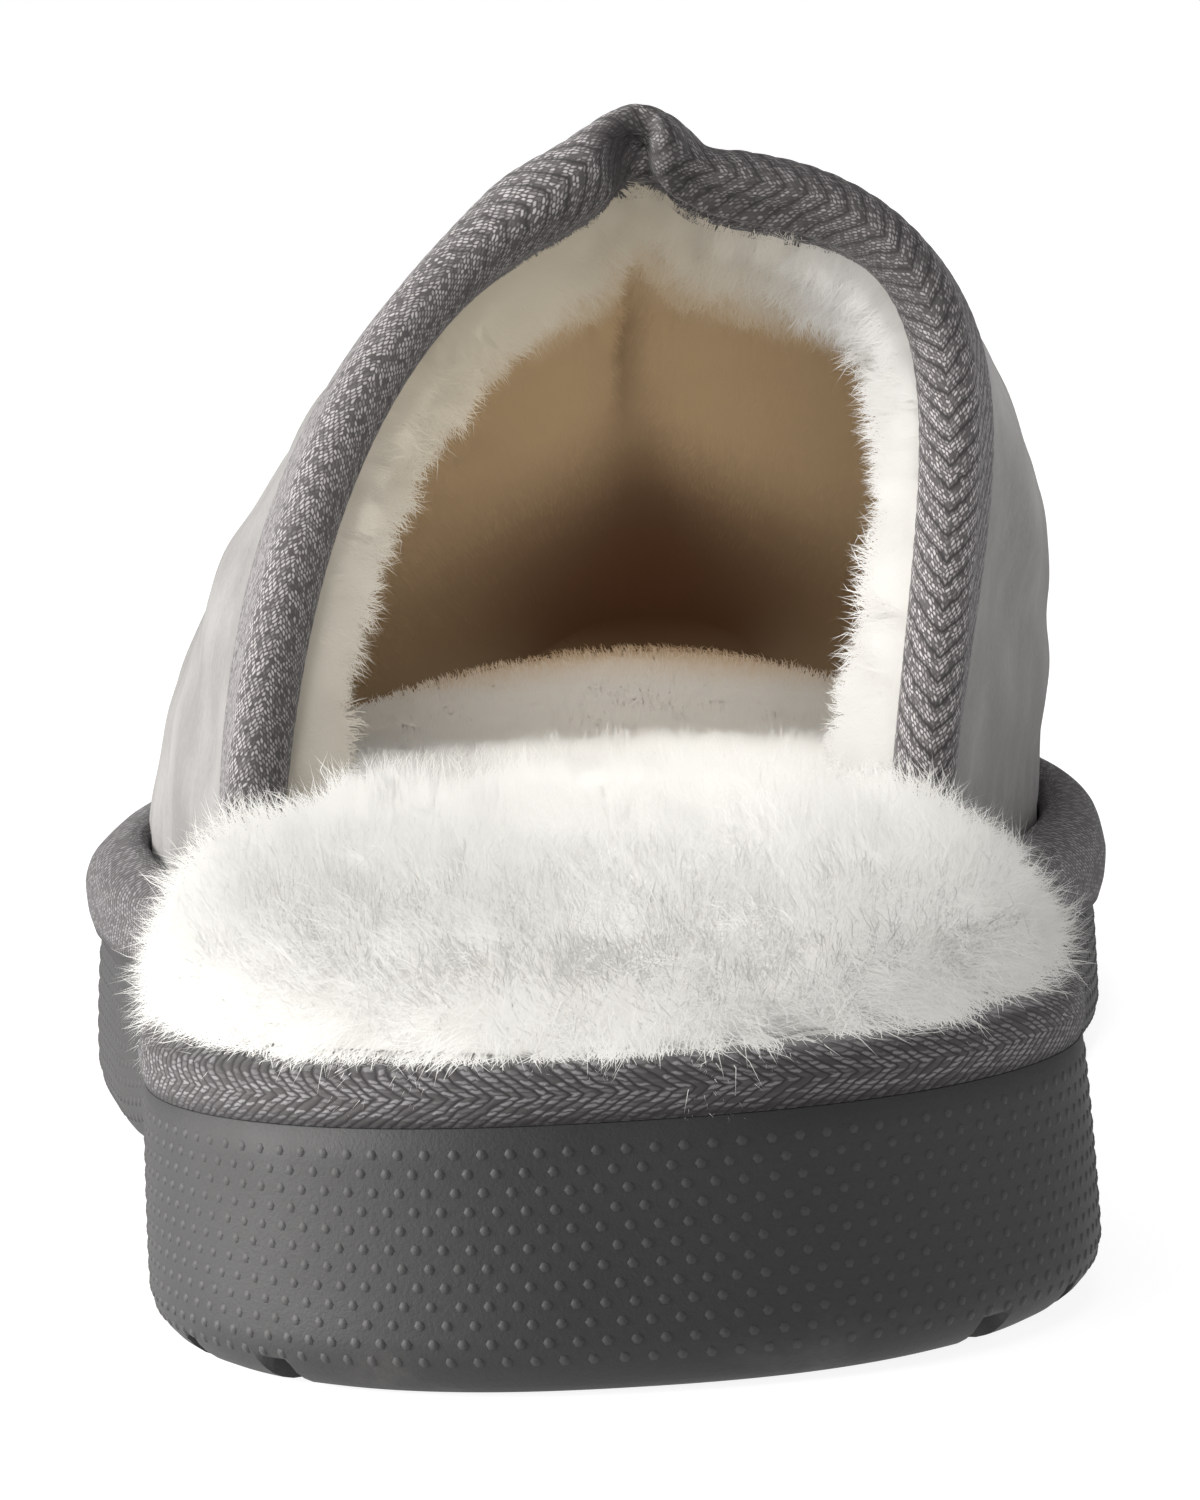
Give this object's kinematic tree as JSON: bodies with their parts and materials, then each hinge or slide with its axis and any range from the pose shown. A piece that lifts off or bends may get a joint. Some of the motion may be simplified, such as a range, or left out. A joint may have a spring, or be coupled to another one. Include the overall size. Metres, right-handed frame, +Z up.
{
  "type": "mule slipper",
  "caption": "Backless sheepskin slipper for the left foot: suede upper with a taped collar, deep fur footbed, tape-bound platform and a moulded foam sole.",
  "frame": {"origin": "On the floor, under the middle of the slipper's bounding box.", "axes": "+Y points from heel to toe, +X to the inner side of the left foot and +Z up."},
  "size_m": [0.1091, 0.28, 0.1043],
  "materials": {
    "sole_foam": "matt, pebbled",
    "woven_tape": "herringbone weave",
    "fur": "deep soft pile",
    "suede": "napped suede"
  },
  "bodies": {
    "root": {"outsole": "sole_foam", "edge_band": "woven_tape", "insole": "fur", "upper": "suede", "collar_binding": "woven_tape"}
  },
  "joints": []
}
